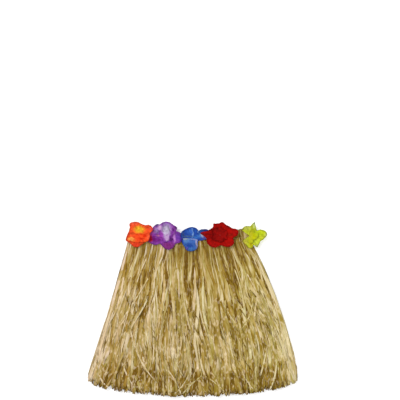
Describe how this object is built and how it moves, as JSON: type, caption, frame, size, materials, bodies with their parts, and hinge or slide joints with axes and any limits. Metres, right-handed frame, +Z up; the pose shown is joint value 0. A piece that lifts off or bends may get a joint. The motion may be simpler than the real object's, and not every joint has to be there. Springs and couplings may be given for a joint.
{
  "type": "hula skirt",
  "caption": "Raffia hula skirt lying flat: a flattened elastic waistband with coloured cloth flowers on its front carries layered curtains of loose straw ribbons, trimmed level at the hem.",
  "frame": {"origin": "middle of the footprint, on the surface that the skirt lies on", "axes": "+X along the waist towards the skirt's right edge as seen from above, +Y from the hem towards the waistband, +Z up from the surface to the front with the flowers"},
  "size_m": [0.5038, 0.4201, 0.0309],
  "materials": {
    "raffia": "satin straw, streaked pale and ochre",
    "elastic": "matt woven elastic",
    "orange_cloth": "matt cloth, orange red at the tips and yellow inside",
    "purple_cloth": "matt cloth, purple with a pale middle",
    "blue_cloth": "matt cloth, blue with paler edges",
    "red_cloth": "matt cloth, deep red",
    "yellow_cloth": "matt cloth, lime yellow"
  },
  "bodies": {
    "root": {"waistband": "elastic", "front_raffia_outer": "raffia", "front_raffia_inner": "raffia", "back_raffia_inner": "raffia", "back_raffia_outer": "raffia", "orange_petals_outer": "orange_cloth", "orange_petals_inner": "orange_cloth", "purple_petals_outer": "purple_cloth", "purple_petals_inner": "purple_cloth", "blue_petals_outer": "blue_cloth", "blue_petals_inner": "blue_cloth", "red_petals_outer": "red_cloth", "red_petals_inner": "red_cloth", "yellow_petals_outer": "yellow_cloth", "yellow_petals_inner": "yellow_cloth"}
  },
  "joints": []
}
